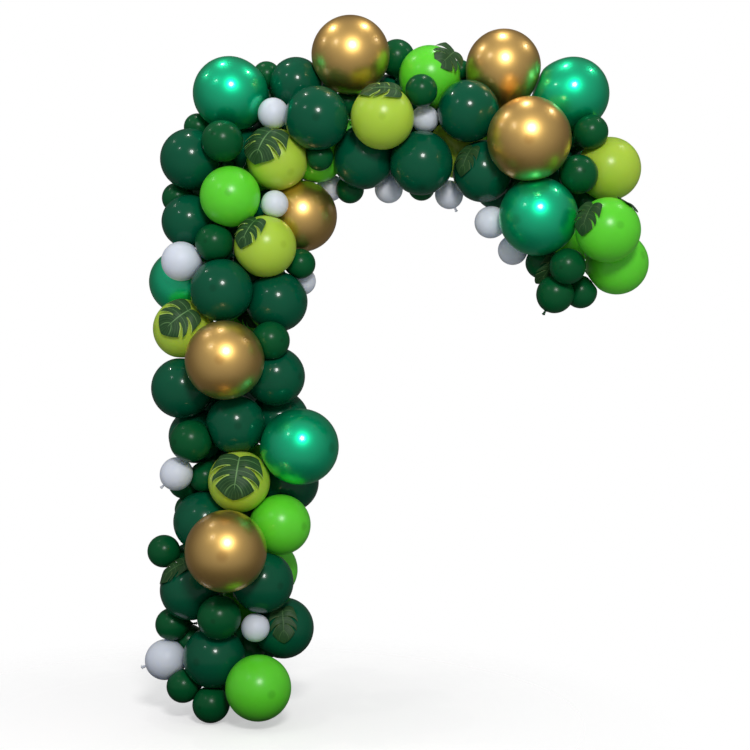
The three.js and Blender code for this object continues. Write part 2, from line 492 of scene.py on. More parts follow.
@dataclass(frozen=True)
class StripRoute:
    """The line of the strip in the arch plane: column, corner, level run, bend and drop."""

    column_x: float
    foot_z: float
    level_half: float
    corner_radius: float
    drop_radius: float
    drop_angle: float
    drop_length: float

    @classmethod
    def from_frame(cls, corner_radius: float = 0.315, drop_radius: float = 0.365,
                   drop_angle: float = math.radians(75.0)) -> "StripRoute":
        """Works the route out from the box of the strip and its two bends.

        Args:
            corner_radius: Radius of the corner over the column.
            drop_radius: Radius of the bend into the drop.
            drop_angle: How far that bend turns, in radians.

        Returns:
            The route.
        """
        low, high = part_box(STRIP_NODE)
        level_half = -low.x - corner_radius
        past_bend = high.x - level_half - drop_radius * math.sin(drop_angle)
        return cls(low.x, low.z, level_half, corner_radius, drop_radius, drop_angle,
                   past_bend / math.cos(drop_angle))

    @property
    def stations(self) -> np.ndarray:
        """Adds up the stretches of the strip.

        Returns:
            Where each of the five ends, along the strip from its foot.
        """
        stretches = [-self.corner_radius - self.foot_z, self.corner_radius * math.pi / 2,
                     2 * self.level_half, self.drop_radius * self.drop_angle, self.drop_length]
        return np.cumsum(stretches)

    def points(self, along: np.ndarray, out: np.ndarray) -> np.ndarray:
        """Places points by their distance along the strip and out from it.

        On the bends a point turns about the bend's centre, on the straights it moves straight on.

        Args:
            along: Distances along the strip from its foot.
            out: Distances towards the outside of the arch.

        Returns:
            The points, with y = 0.
        """
        column, corner, level, bend, _ = self.stations
        turn = np.pi - (along - column) / self.corner_radius
        down = np.clip((along - level) / self.drop_radius, 0.0, self.drop_angle)
        past = np.maximum(along - bend, 0.0)
        corner_reach, drop_reach = self.corner_radius + out, self.drop_radius + out
        where = [along < column, along < corner, along < level]
        x = np.select(where, [self.column_x - out,
                              corner_reach * np.cos(turn) - self.level_half,
                              along - corner - self.level_half],
                      self.level_half + drop_reach * np.sin(down) + past * np.cos(down))
        z = np.select(where, [self.foot_z + along,
                              corner_reach * np.sin(turn) - self.corner_radius,
                              out],
                      drop_reach * np.cos(down) - self.drop_radius - past * np.sin(down))
        return np.stack([x, np.zeros_like(x), z], axis=-1)

    def nearest(self, point: np.ndarray, step: float = 0.004) -> np.ndarray:
        """Finds the point of the strip nearest to a point.

        Args:
            point: The point.
            step: The strip is searched at points this far apart.

        Returns:
            The nearest of those points.
        """
        along = np.arange(0.0, self.stations[-1], step)
        line = self.points(along, np.zeros_like(along))
        return line[np.argmin(np.linalg.norm(line - point, axis=1))]


@dataclass
class PunchedStrip:
    """The clear strip that carries the balloons, with a round hole punched every 25 mm."""

    route: StripRoute
    width: float = 0.012
    thickness: float = 0.0012
    pitch: float = 0.025
    hole_radius: float = 0.002
    sides: int = 16
    rings: int = 2

    def surface(self) -> Surface:
        """Lays punched cells along the route.

        In each cell a ring of points grows from the hole's circle to the cell's square edge: a
        point at angle a is (1 - t) * hole * (cos a, sin a) + t * half size * (cos a, sin a) divided
        by the larger of |cos a| and |sin a|.

        Returns:
            The strip's middle sheet.
        """
        cells = np.arange(int(self.route.stations[-1] / self.pitch))
        angle = np.linspace(0.0, 2 * np.pi, self.sides + 1) + np.pi / 4
        cosine, sine = np.cos(angle), np.sin(angle)
        square = np.maximum(np.abs(cosine), np.abs(sine))
        t = np.linspace(0.0, 1.0, self.rings + 1)[:, None]
        along = (1 - t) * self.hole_radius * cosine + t * self.pitch / 2 * cosine / square
        across = (1 - t) * self.hole_radius * sine + t * self.width / 2 * sine / square
        along = (cells[:, None, None] + 0.5) * self.pitch + along
        points = self.route.points(along, np.full_like(along, -self.thickness / 2))
        points[..., 1] = across
        return patches(points, along, np.broadcast_to(across, along.shape))

    def material(self) -> bpy.types.Material:
        """Makes the clear, slightly milky plastic of the strip.

        Returns:
            The material.
        """
        made, nodes, shader = new_material("clear_plastic")
        where = nodes.add("ShaderNodeTexCoord").outputs["Object"]
        nodes.feed_each(shader, {
            "Base Color": (0.86, 0.9, 0.88, 1.0),
            "Roughness": nodes.span(nodes.noise(120.0, 4.0, where), 0.4, 0.7, 0.12, 0.35),
            "Transmission Weight": 0.55,
            "IOR": 1.46,
        })
        return made

    def build(self) -> bpy.types.Object:
        """Makes the finished strip in place of the plain one.

        Returns:
            The finished piece.
        """
        piece = self.surface().to_object("punched_strip")
        shell = piece.modifiers.new("thickness", "SOLIDIFY")
        shell.thickness = self.thickness
        shell.offset = 0.0
        piece.data.materials.append(self.material())
        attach(piece, "root")
        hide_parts(STRIP_NODE)
        return piece


# ---- Balloons ------------------------------------------------------------------------------------

# How much longer than a half ball the tail's half of a balloon is.
USUAL_STRETCH = 1.06
STRETCHES = {Latex.EMERALD: 1.34, Latex.GOLD: 1.2}


@dataclass
class Balloon:
    """One blown-up balloon: a round body with a tail that points at where it is tied.

    tail_reach and least_reach are the most and the least that the tail's end is from the centre,
    least_tail is how much of it stays past the round body, and neck_radii is half the neck's width,
    all in radii. knot_necks is the knot's length in half neck widths. A neighbour shortens the tail
    where the tail leans towards it by more than tail_slope, as a cosine.
    """

    name: str
    latex: Latex
    centre: np.ndarray
    radius: float
    tie: np.ndarray
    node: str | None = None
    around: int = 72
    body_rings: int = 34
    shoulder_rings: int = 10
    knot_rings: int = 9
    tail_reach: float = 1.36
    least_reach: float = 1.04
    stretch: float = USUAL_STRETCH
    press: float = 0.0035
    gap: float = 0.0002
    strip_clearance: float = 0.012
    least_tail: float = 0.05
    tail_slope: float = 0.2
    neck_radii: float = 0.045
    least_neck: float = 0.0028
    knot_necks: float = 4.5
    lip_depth: float = 0.0004

    @property
    def crown(self) -> np.ndarray:
        """The direction from the tie through the centre to the crown."""
        return unit(self.centre - self.tie)

    def contacts(self, others: list["Balloon"]) -> list[tuple[np.ndarray, float]]:
        """Finds the flat contacts with neighbours.

        Two round bodies of radii a and b at distance d would meet on the plane at
        (d^2 + a^2 - b^2) / (2 d) from the first centre.

        Args:
            others: All the balloons of the garland.

        Returns:
            A direction and a distance from this balloon's centre for each contact.
        """
        found = []
        for other in others:
            between = other.centre - self.centre
            distance = float(np.linalg.norm(between))
            if other is self or distance > self.radius * self.tail_reach + other.radius:
                continue
            plane = (distance**2 + self.radius**2 - other.radius**2) / (2 * distance)
            if plane < self.radius * self.tail_reach:
                found.append((between / distance, plane - self.gap))
        return found

    def tail_end(self, contacts: list[tuple[np.ndarray, float]]) -> float:
        """Shortens the tail so that it ends before the strip and before any neighbour.

        Args:
            contacts: The flat contacts with neighbours.

        Returns:
            The distance from the centre to the end of the tail.
        """
        room = float(np.linalg.norm(self.centre - self.tie)) - self.strip_clearance
        reach = min(self.radius * self.tail_reach, room)
        for direction, distance in contacts:
            slope = float(-self.crown @ direction)
            if slope > self.tail_slope:
                reach = min(reach, distance / slope)
        return max(reach, self.radius * self.least_reach)

    def profile(self, reach: float) -> tuple[np.ndarray, np.ndarray]:
        """Works out half the section of the balloon, from crown to lip.

        The crown's half is a half circle. The tail's half is a half ellipse, longer by the stretch,
        as far as the point where a line from the tail's end would touch it. A cubic curve leads
        from there to the neck. A knot of one round swelling and a flared, rolled lip close it.

        Args:
            reach: Distance from the centre to the end of the tail.

        Returns:
            Distances from the axis, and places along it with the crown positive.
        """
        stretch = min(self.stretch, max(reach / self.radius - self.least_tail, 1.0))
        touch = math.pi - math.acos(min(stretch * self.radius / reach, 0.995))
        body = np.linspace(0.0, touch, self.body_rings + 1)[1:]
        longer = np.where(body > math.pi / 2, stretch, 1.0)
        start = np.array([math.sin(touch), math.cos(touch) * stretch]) * self.radius
        heading = unit(np.array([math.cos(touch), -math.sin(touch) * stretch]))
        neck = max(self.radius * self.neck_radii, self.least_neck)
        finish = np.array([neck, -reach])
        chord = float(np.linalg.norm(finish - start))
        t = np.linspace(0.0, 1.0, self.shoulder_rings + 1)[1:, None]
        shoulder = ((2 * t**3 - 3 * t**2 + 1) * start + (t**3 - 2 * t**2 + t) * chord * heading
                    + (3 * t**2 - 2 * t**3) * finish
                    + (t**3 - t**2) * chord * 0.7 * np.array([0.0, -1.0]))
        k = np.linspace(0.0, 1.0, self.knot_rings + 1)[1:]
        swelling = np.where(k < 0.5, np.sin(np.pi * k / 0.5), 0.0)
        flare = np.where(k >= 0.5, np.sin(np.pi * np.clip((k - 0.5) / 0.44, 0.0, 1.0)) ** 0.7, 0.0)
        across = neck * (0.75 + 1.0 * swelling + 1.5 * flare)
        down = -reach - neck * self.knot_necks * k
        radial = np.concatenate([self.radius * np.sin(body), shoulder[:, 0], across])
        axial = np.concatenate([self.radius * longer * np.cos(body), shoulder[:, 1], down])
        return radial, axial

    def surface(self, others: list["Balloon"]) -> Surface:
        """Turns the profile round the axis and flattens it on its contacts.

        A point at height s above a contact plane moves back by (s + sqrt(s^2 + w^2)) / 2, so that
        the latex rounds into the contact over the width w.

        Args:
            others: All the balloons of the garland.

        Returns:
            The balloon's closed surface.
        """
        contacts = self.contacts(others)
        radial, axial = self.profile(self.tail_end(contacts))
        first, second = across_axes(self.crown)
        angle = np.linspace(0.0, 2 * np.pi, self.around, endpoint=False)
        ring = np.cos(angle)[:, None] * first + np.sin(angle)[:, None] * second
        rings = radial[:, None, None] * ring[None] + axial[:, None, None] * self.crown
        ends = np.array([self.radius, axial[-1] - self.lip_depth])[:, None] * self.crown
        points = np.concatenate([ends[:1], rings.reshape(-1, 3), ends[1:]])
        for direction, distance in contacts:
            above = points @ direction - distance
            pushed = (above + np.sqrt(above**2 + self.press**2)) / 2
            points = points - pushed[:, None] * direction
        points = points + self.centre
        count = len(radial)
        shares = np.concatenate([
            np.linspace(0.0, BODY_SHARE, self.body_rings + 1)[1:],
            np.linspace(BODY_SHARE, NECK_SHARE, self.shoulder_rings + 1)[1:],
            np.linspace(NECK_SHARE, 0.999, self.knot_rings + 1)[1:],
        ])
        stacked = points[1:-1].reshape(count, self.around, 3)
        return revolved(stacked, points[0], points[-1], shares)

    def build(self, others: list["Balloon"], material: bpy.types.Material) -> bpy.types.Object:
        """Makes the balloon, riding on the garland's one body.

        Args:
            others: All the balloons of the garland.
            material: The latex to make it of.

        Returns:
            The finished piece.
        """
        piece = self.surface(others).to_object(self.name)
        piece.data.materials.append(material)
        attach(piece, "root")
        if self.node:
            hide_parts(self.node)
        return piece


def fit_ball(points: np.ndarray, rounds: int = 25, share: float = 0.56) -> tuple[np.ndarray, float]:
    """Fits a ball to the vertices of a solid that is partly ball and partly flats.

    A ball solves 2 c.p + k = |p|^2 for its centre c by least squares, with radius
    sqrt(k + |c|^2). From several starts, each round keeps the share of vertices nearest to the ball
    and fits again, and the tightest result wins.

    Args:
        points: The vertices.
        rounds: How many times each start is refined.
        share: The share of vertices taken to be on the ball.

    Returns:
        The centre and the radius.
    """
    kept_count = int(share * len(points))
    middle = np.median(points, axis=0)
    starts = [np.ones(len(points), dtype=bool)]
    starts += [points[:, axis] >= middle[axis] for axis in range(3)]
    starts += [points[:, axis] <= middle[axis] for axis in range(3)]
    best = (math.inf, points.mean(axis=0), 0.0)
    for start in starts:
        kept = np.flatnonzero(start)
        for _ in range(rounds):
            table = np.c_[2 * points[kept], np.ones(len(kept))]
            solved = np.linalg.lstsq(table, (points[kept] ** 2).sum(axis=1), rcond=None)[0]
            centre = solved[:3]
            radius = math.sqrt(max(solved[3] + centre @ centre, 1e-12))
            miss = np.abs(np.linalg.norm(points - centre, axis=1) - radius)
            kept = np.argsort(miss, kind="stable")[:kept_count]
        if miss[kept[-1]] < best[0]:
            best = (miss[kept[-1]], centre, radius)
    return best[1], best[2]


# How far the tail of a balloon whose knot shows reaches from the centre, in radii.
SHORT_TAIL = 1.1

# A balloon tied away from the nearest point of the strip: millimetres along the strip to its knot.
FAR_TIES = {"emerald_balloon_4": 2770, "emerald_balloon_3": 2150}


def large_balloons(route: StripRoute) -> list[Balloon]:
    """Measures each large balloon's place and size from its CAD solid.

    Args:
        route: The strip's line, which says where each balloon is tied.

    Returns:
        The balloons, in the order of their node names.
    """
    found = []
    for name in sorted(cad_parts):
        if name == STRIP_NODE:
            continue
        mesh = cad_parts[name].data
        flat = np.empty(len(mesh.vertices) * 3, dtype=np.float32)
        mesh.vertices.foreach_get("co", flat)
        vertices = np.unique(np.round(flat.reshape(-1, 3).astype(float), 5), axis=0)
        centre, radius = fit_ball(vertices)
        latex = Latex(name.split("_")[0] + "_latex")
        tie = route.nearest(centre)
        if name in FAR_TIES:
            tie = route.points(np.array(FAR_TIES[name] / 1000), np.array(0.0))
        stretch = STRETCHES.get(latex, USUAL_STRETCH)
        found.append(Balloon(name + "_skin", latex, centre, radius, tie, node=name, stretch=stretch))
    return found


@dataclass(frozen=True)
class SmallPlace:
    """Where a small balloon is glued in, in millimetres: along, out and forward of the strip.

    knot is the way its knot points in the face of the garland, in degrees with 0 towards +X. Where
    it is left out, the knot points at the strip.
    """

    name: str
    latex: Latex
    along: float
    out: float
    forward: float
    radius: float
    knot: float | None = None


SMALL_PLACES = tuple(SmallPlace(*row) for row in (
    ("foot_small_1", Latex.PINE, 4, 66, 110, 64),
    ("foot_small_2", Latex.PINE, 61, 165, 70, 58),
    ("foot_white", Latex.WHITE, 145, 230, 20, 71, 198),
    ("column_small_1", Latex.PINE, 315, 30, 180, 75),
    ("column_small_2", Latex.PINE, 267, 212, 30, 57),
    ("column_white_1", Latex.WHITE, 276, -91, 150, 49),
    ("column_small_3", Latex.PINE, 524, 238, 40, 57),
    ("column_small_4", Latex.PINE, 662, 155, -20, 56),
    ("column_white_2", Latex.WHITE, 799, 185, 80, 57, 222),
    ("column_small_5", Latex.PINE, 784, 94, 40, 55),
    ("column_small_6", Latex.PINE, 761, 171, 0, 59),
    ("column_small_7", Latex.PINE, 914, 131, 110, 72),
    ("column_small_8", Latex.PINE, 1257, -144, 150, 66),
    ("column_white_3", Latex.WHITE, 1530, 165, 130, 68),
    ("column_white_4", Latex.WHITE, 1472, -241, 0, 50),
    ("column_small_9", Latex.PINE, 1527, -240, 60, 53),
    ("column_small_10", Latex.PINE, 1593, 52, 140, 66),
    ("corner_white_1", Latex.WHITE, 1725, -157, 150, 47),
    ("corner_small_1", Latex.PINE, 1749, 198, 0, 55),
    ("corner_small_2", Latex.PINE, 1903, 82, 155, 71),
    ("corner_small_3", Latex.PINE, 1908, 212, 0, 49),
    ("corner_white_2", Latex.WHITE, 2068, 43, 110, 54),
    ("corner_small_4", Latex.PINE, 2095, 200, 0, 50),
    ("level_small_1", Latex.PINE, 2208, -147, 50, 48),
    ("level_white_1", Latex.WHITE, 2244, -227, -60, 49),
    ("level_small_2", Latex.PINE, 2316, -240, 20, 50),
    ("level_white_2", Latex.WHITE, 2454, -239, -40, 50),
    ("level_small_3", Latex.PINE, 2482, 222, 10, 64),
    ("level_small_4", Latex.PINE, 2562, 66, 190, 55),
    ("level_small_5", Latex.PINE, 2570, -235, 0, 48),
    ("level_white_3", Latex.WHITE, 2578, -13, 90, 48),
    ("level_white_4", Latex.WHITE, 2668, -258, -40, 50, 294),
    ("drop_small_1", Latex.PINE, 3082, 139, 140, 59),
    ("drop_small_2", Latex.PINE, 3169, 25, 140, 67),
    ("drop_white_1", Latex.WHITE, 3238, -300, 60, 56),
    ("drop_white_2", Latex.WHITE, 3350, -247, 30, 52),
    ("drop_small_3", Latex.PINE, 3419, -162, 50, 58),
    ("drop_small_4", Latex.PINE, 3460, -98, 170, 62),
    ("drop_small_5", Latex.PINE, 3538, -153, 100, 65, 240),
    ("drop_small_6", Latex.PINE, 3554, -58, 60, 57),
    # From here on: fill balloons set into gaps behind the others, mostly of dark latex. They are partly
    # real back balloons and partly painted shade, dark stand-ins for the shade between the balloons.
    ("foot_back_forest", Latex.FOREST, 52, 0, -115, 105),
    ("corner_back_grass", Latex.GRASS, 2184, -116, -90, 104),
    ("drop_back_small", Latex.PINE, 3248, 48, -80, 61),
    ("foot_back_small", Latex.PINE, 196, 164, -30, 60),
    ("corner_back_forest", Latex.FOREST, 1926, 64, -60, 86),
    ("level_back_forest", Latex.FOREST, 2974, -188, -70, 86),
    ("corner_back_small_1", Latex.PINE, 1774, 136, -20, 60),
    ("column_back_small_1", Latex.PINE, 830, 74, -60, 57),
    ("column_back_small_2", Latex.PINE, 1474, -70, -40, 64),
    ("foot_back_small_2", Latex.PINE, 176, -42, -40, 71),
    ("column_back_small_3", Latex.PINE, 652, -50, -20, 50),
    ("drop_back_small_2", Latex.PINE, 3042, -158, 0, 49),
    ("column_back_small_4", Latex.PINE, 502, 166, 0, 42),
    ("column_back_small_5", Latex.PINE, 1658, -2, 0, 39),
    ("corner_back_small_2", Latex.PINE, 1854, 68, 0, 42),
    ("corner_back_small_3", Latex.PINE, 2082, 126, -30, 43),
    ("level_back_small", Latex.PINE, 2310, 62, 15, 48),
    ("level_back_small_2", Latex.PINE, 2710, 184, -40, 34),
    ("drop_back_small_3", Latex.PINE, 3069, 121, -50, 46),
))


@dataclass(frozen=True)
class BackRow:
    """A row of plain dark balloons that fills one side of the garland's back. Their dark latex, seen
    through the gaps, is partly real back balloons and partly painted shade between the balloons.
    """

    name: str
    first: float
    pitch: float
    count: int
    out: float
    forward: float
    radius: float

    def places(self) -> list[SmallPlace]:
        """Spaces the row's balloons evenly along the strip."""
        return [SmallPlace(f"{self.name}_{number + 1}", Latex.FOREST, self.first + number * self.pitch,
                           self.out, self.forward, self.radius) for number in range(self.count)]


BACK_ROWS = (
    BackRow("outer_back", 160, 255, 14, 100, -100, 78),
    BackRow("inner_back", 200, 255, 13, -110, -110, 76),
)


def small_balloons(route: StripRoute, large: list[Balloon], rounds: int = 60, apart: float = 0.93,
                   step: float = 0.12, pull: float = 0.02) -> list[Balloon]:
    """Seats the small balloons against the large ones and each other.

    Each keeps its place in the face of the garland and slides forward or back, away from whatever
    it sinks into too far, and a little towards where it was placed, round after round.

    Args:
        route: The strip's line.
        large: The large balloons, which stay where they are.
        rounds: How many times they all slide.
        apart: How far apart two centres must be, as a share of the two radii.
        step: The share of what is missing that a balloon slides in a round.
        pull: The share of the way back to its place that it slides in a round.

    Returns:
        The small balloons.
    """
    made = []
    places = [*SMALL_PLACES, *(place for row in BACK_ROWS for place in row.places())]
    for place in places:
        along, out = np.array(place.along / 1000), np.array(place.out / 1000)
        centre = route.points(along, out) - np.array([0.0, place.forward / 1000, 0.0])
        made.append(Balloon(place.name, place.latex, centre, place.radius / 1000,
                            route.nearest(centre), around=48, body_rings=24, shoulder_rings=8))
    start = np.array([ball.centre[1] for ball in made])
    everyone = made + large
    radii = np.array([ball.radius for ball in everyone])
    for _ in range(rounds):
        centres = np.array([ball.centre for ball in everyone])
        for index, ball in enumerate(made):
            away = ball.centre - centres
            beside = np.hypot(away[:, 0], away[:, 2])
            reach = (radii + ball.radius) * apart
            wanted = np.sqrt(np.maximum(reach**2 - beside**2, 0.0))
            side = np.where(away[:, 1] < 0.0, -1.0, 1.0)
            missing = np.maximum(wanted - np.abs(away[:, 1]), 0.0)
            missing[index] = 0.0
            ball.centre = ball.centre + np.array([0.0, step * float((missing * side).sum()), 0.0])
            ball.centre[1] += pull * (start[index] - ball.centre[1])
    for ball, place in zip(made, places):
        ball.tie = route.nearest(ball.centre)
        if place.knot is not None:
            ball.tie = ball.centre + face_direction(place.knot, 0.0) * ball.radius * 2
            ball.tail_reach = SHORT_TAIL
    return made


# ---- Leaves --------------------------------------------------------------------------------------


@dataclass(frozen=True)
class LeafPlace:
    """Where a leaf lies on a balloon, and its size in millimetres.

    bearing and lean give the point of the balloon under the leaf's middle, heading gives where the
    leaf's tip points in the face of the garland, and tilt turns the leaf out towards the viewer from
    lying flat, all in degrees. A faded leaf has dull veins and no bright cut edges.
    """

    host: str
    bearing: float
    lean: float
    heading: float
    length: float
    width: float
    lift: float = 2.0
    tilt: float = 0.0
    faded: bool = False


LEAF_PLACES = (
    LeafPlace("lime_balloon_1_skin", 90, 73, 263, 165, 185),
    LeafPlace("forest_balloon_2_skin", 81, 71, 273, 128, 98, faded=True),
    LeafPlace("forest_balloon_3_skin", 126, 27, 215, 130, 105, faded=True),
    LeafPlace("lime_balloon_2_skin", 100, 71, 222, 145, 145),
    LeafPlace("lime_balloon_3_skin", 139, 48, 250, 125, 120),
    LeafPlace("lime_balloon_4_skin", 135, 53, 252, 150, 190, lift=5.0),
    LeafPlace("grass_balloon_10_skin", 39, 47, 225, 102, 116, lift=9.0, tilt=15.0, faded=True),
    LeafPlace("lime_balloon_5_skin", 93, 35, 180, 150, 125),
    LeafPlace("drop_small_3", 293, 62, 245, 130, 70, lift=14.0, faded=True),
    LeafPlace("forest_balloon_26_skin", 153, 47, 250, 118, 88, faded=True),
    LeafPlace("grass_balloon_13_skin", 156, 36, 252, 122, 104, lift=4.0, tilt=6.0, faded=True),
    LeafPlace("grass_balloon_6_skin", 60, 70, 320, 80, 50, faded=True),
    LeafPlace("grass_balloon_13_skin", 55, 8, 60, 90, 80, faded=True),
)


@dataclass
class MonsteraLeaf:
    """An artificial monstera leaf: a heart-shaped blade with curved slits, on a thin stalk."""

    name: str
    place: LeafPlace
    host: Balloon
    lobe_ends: tuple[float, ...] = (0.0, 0.32, 0.57, 1.0)
    slit_from: float = 0.24
    slit_half: float = 0.036
    curl: float = math.radians(66.0)
    uncut: float = 0.14
    rows: int = 16
    columns: int = 12
    crease: float = 0.12
    ripple: float = 0.0035
    least_bend: float = 0.11
    thickness: float = 0.0005
    stalk_radius: float = 0.0013

    def blade(self) -> tuple[np.ndarray, np.ndarray, np.ndarray]:
        """Works out the flat blade, lobe by lobe.

        A half blade is a fan of rays from the midrib. The ray at v starts at 0.05 + 0.72 v of the
        length. It turns by the curl towards the tip on its way, about a mean angle from the tip of
        70 cos(pi / 2 v^2.2)^0.8 + 26 (1 - v)^6 degrees, and it is
        0.23 + 0.39 cos(pi / 2 |v - 0.32| / 0.68)^1.2 lengths long. At the end of a lobe the rays
        draw back from each other past slit_from, which opens a slit, and a lobe reaches furthest
        at its corner nearest to the tip.

        Returns:
            Flat points as (side and lobe, row, column, 2), with the texture places u, from midrib
            to margin, and v, across a lobe: 0 and 1 at a slit, and short of them where there is none.
        """
        length = self.place.length / 1000
        broad = self.place.width / 1000 / (1.13 * length)
        u = np.linspace(0.0, 1.0, self.rows + 1)[:, None]
        w = np.linspace(-1.0, 1.0, self.columns + 1)[None, :]
        ends = np.array(self.lobe_ends)
        low, high = ends[:-1, None, None], ends[1:, None, None]
        opening = self.slit_half * smooth_step(u, self.slit_from, 1.0)
        first = low + np.where(low > 0.0, opening, 0.0)
        last = high - np.where(high < 1.0, opening, 0.0)
        v = first + (last - first) * (w + 1) / 2
        mean = np.radians(70 * np.cos(np.pi / 2 * v**2.2).clip(0) ** 0.8 + 26 * (1 - v) ** 6)
        curl = self.curl * (1 - v) ** 0.25 + 1e-4
        start = mean + curl / 2
        corner = np.where(high < 1.0, 0.07 * w - 0.12 * np.maximum(-w, 0.0) ** 3 * (low > 0.0), 0.0)
        reach = 0.23 + 0.39 * np.cos(np.pi / 2 * np.abs(v - 0.32) / 0.68).clip(0) ** 1.2
        reach = length * reach * (1 + corner * u)
        x = broad * reach * (np.cos(start - curl * u) - np.cos(start)) / curl
        y = length * (0.05 + 0.72 * v) + reach * (np.sin(start) - np.sin(start - curl * u)) / curl
        half = np.stack([x, y], axis=-1)
        other = half * np.array([-1.0, 1.0])
        u_place = np.broadcast_to(u, v.shape)
        first_place = np.where(low > 0.0, 0.0, self.uncut)
        last_place = np.where(high < 1.0, 1.0, 1.0 - self.uncut)
        share = first_place + (last_place - first_place) * (w + 1) / 2
        v_place = np.broadcast_to(share + 0 * u, v.shape)
        both = np.concatenate([half, other[:, :, ::-1]])
        return both, np.concatenate([u_place] * 2), np.concatenate([v_place, v_place[..., ::-1]])

    def draped(self, flat: np.ndarray) -> np.ndarray:
        """Lays flat points over the host balloon.

        A point at distance r from the leaf's middle goes to an arc of radius D, wider than the
        balloon: sin(r / D) * D along its direction and (1 - cos(r / D)) * D down. The blade also
        rises by the crease times its distance from the midrib, and by a ripple that is a product of
        two sines.

        Args:
            flat: Points as (..., 2), across and along the leaf.

        Returns:
            Points as (..., 3) in the garland's frame.
        """
        outwards = face_direction(self.place.bearing, self.place.lean)
        up = face_direction(self.place.bearing, self.place.lean + self.place.tilt)
        turn = math.radians(self.place.heading)
        tip = np.array([math.cos(turn), 0.0, math.sin(turn)])
        tip = unit(tip - (tip @ up) * up)
        side = np.cross(tip, up)
        bend = max(self.host.radius * 1.2, self.least_bend)
        spot = flat - np.array([0.0, 0.45 * self.place.length / 1000])
        distance = np.linalg.norm(spot, axis=-1, keepdims=True)
        direction = spot / np.maximum(distance, 1e-9)
        along = direction[..., :1] * side + direction[..., 1:] * tip
        crease = self.crease * np.abs(spot[..., :1])
        ripple = self.ripple * np.sin(spot[..., :1] * 70) * np.sin(spot[..., 1:] * 55 + 1.3)
        middle = self.host.centre + outwards * (self.host.radius + self.place.lift / 1000)
        return (middle + up * (crease + ripple - (1 - np.cos(distance / bend)) * bend)
                + along * np.sin(distance / bend) * bend)

    def stalk(self) -> Surface:
        """Carries a small circle along a curve that dives from the blade's base behind it.

        Returns:
            The closed stalk.
        """
        length = self.place.length / 1000
        t = np.linspace(0.0, 1.0, 9)
        flat = np.stack([0.01 * t**2, length * (0.6 - 0.75 * t)], axis=-1)
        line = self.draped(flat)
        up = face_direction(self.place.bearing, self.place.lean)
        line = line - up * (0.0012 + 0.05 * np.clip(t - 0.6, 0, 1)[:, None] ** 2 * 4)
        forward = np.gradient(line, axis=0)
        forward = forward / np.linalg.norm(forward, axis=1, keepdims=True)
        side = np.cross(forward, up)
        side = side / np.linalg.norm(side, axis=1, keepdims=True)
        lifted = np.cross(side, forward)
        angle = np.linspace(0.0, 2 * np.pi, 8, endpoint=False)
        radius = self.stalk_radius * (0.45 + 0.55 * t)[:, None, None]
        rings = line[:, None] + radius * (np.cos(angle)[:, None] * side[:, None]
                                          + np.sin(angle)[:, None] * lifted[:, None])
        return revolved(rings, line[0], line[-1], np.full(len(t), -0.5))

    def build(self, material: bpy.types.Material) -> bpy.types.Object:
        """Makes the leaf, riding on the garland's one body.

        Args:
            material: The printed fabric to make it of.

        Returns:
            The finished piece.
        """
        flat, u, v = self.blade()
        lobes = patches(self.draped(flat), u, v)
        piece = lobes.joined(self.stalk()).to_object(self.name)
        weld = piece.modifiers.new("joined_lobes", "WELD")
        weld.merge_threshold = self.thickness / 10
        shell = piece.modifiers.new("thickness", "SOLIDIFY")
        shell.thickness = self.thickness
        shell.offset = 0.0
        piece.data.materials.append(material)
        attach(piece, "root")
        return piece


@dataclass(frozen=True)
class LeafFinish:
    """How a printed leaf looks: the colours of its veins and of its cut edges."""

    veins: tuple[float, float, float]
    rims: tuple[float, float, float]

    def material(self, name: str) -> bpy.types.Material:
        """Makes the printed leaf: deep green, with paler veins and cut edges.

        Args:
            name: The material's name.

        Returns:
            The material. Its texture runs from midrib to margin in u and across one lobe in v, and
            the stalk lies below 0 in v.
        """
        made, nodes, shader = new_material(name)
        place = nodes.add("ShaderNodeSeparateXYZ")
        nodes.feed(place.inputs[0], nodes.add("ShaderNodeUVMap", uv_map="UVMap").outputs["UV"])
        u, v = place.outputs["X"], place.outputs["Y"]
        off_middle = nodes.math("ABSOLUTE", nodes.math("SUBTRACT", v, 0.5))
        midrib = nodes.span(u, 0.014, 0.035, 1.0, 0.0)
        vein = nodes.span(off_middle, 0.01, 0.035, 0.75, 0.0)
        vein = nodes.math("MULTIPLY", vein, nodes.span(u, 0.5, 1.0, 1.0, 0.2))
        fine = nodes.span(nodes.math("SINE", nodes.math("MULTIPLY", v, 50.0)), 0.7, 1.0, 0.0, 0.25)
        cut = nodes.math("MULTIPLY", nodes.span(off_middle, 0.44, 0.48), nodes.span(u, 0.22, 0.3))
        margin = nodes.span(u, 0.98, 0.995, 0.0, 0.5)
        lines = nodes.math("MAXIMUM", nodes.math("MAXIMUM", midrib, vein), fine)
        edges = nodes.math("MAXIMUM", cut, margin)
        where = nodes.add("ShaderNodeTexCoord").outputs["Object"]
        tone = nodes.blend(nodes.noise(35.0, 3.0, where), (0.009, 0.045, 0.01, 1.0),
                           (0.022, 0.085, 0.022, 1.0))
        tone = nodes.blend(lines, tone, (*self.veins, 1.0))
        tone = nodes.blend(edges, tone, (*self.rims, 1.0))
        tone = nodes.blend(nodes.math("LESS_THAN", v, -0.1), tone, (0.07, 0.17, 0.04, 1.0))
        weave = nodes.noise(900.0, 1.0, where)
        height = nodes.math("ADD", nodes.math("MULTIPLY", lines, -0.6),
                            nodes.math("MULTIPLY", weave, 0.3))
        nodes.feed_each(shader, {
            "Base Color": tone,
            "Roughness": nodes.span(weave, 0.2, 0.8, 0.42, 0.62),
            "Specular IOR Level": 0.3,
            "Normal": nodes.bump(0.5, 0.0008, height),
        })
        return made


FRESH_LEAF = LeafFinish((0.14, 0.3, 0.1), (0.5, 0.74, 0.14))
FADED_LEAF = LeafFinish((0.07, 0.16, 0.05), (0.07, 0.13, 0.035))


# ---- The garland and its studio ------------------------------------------------------------------


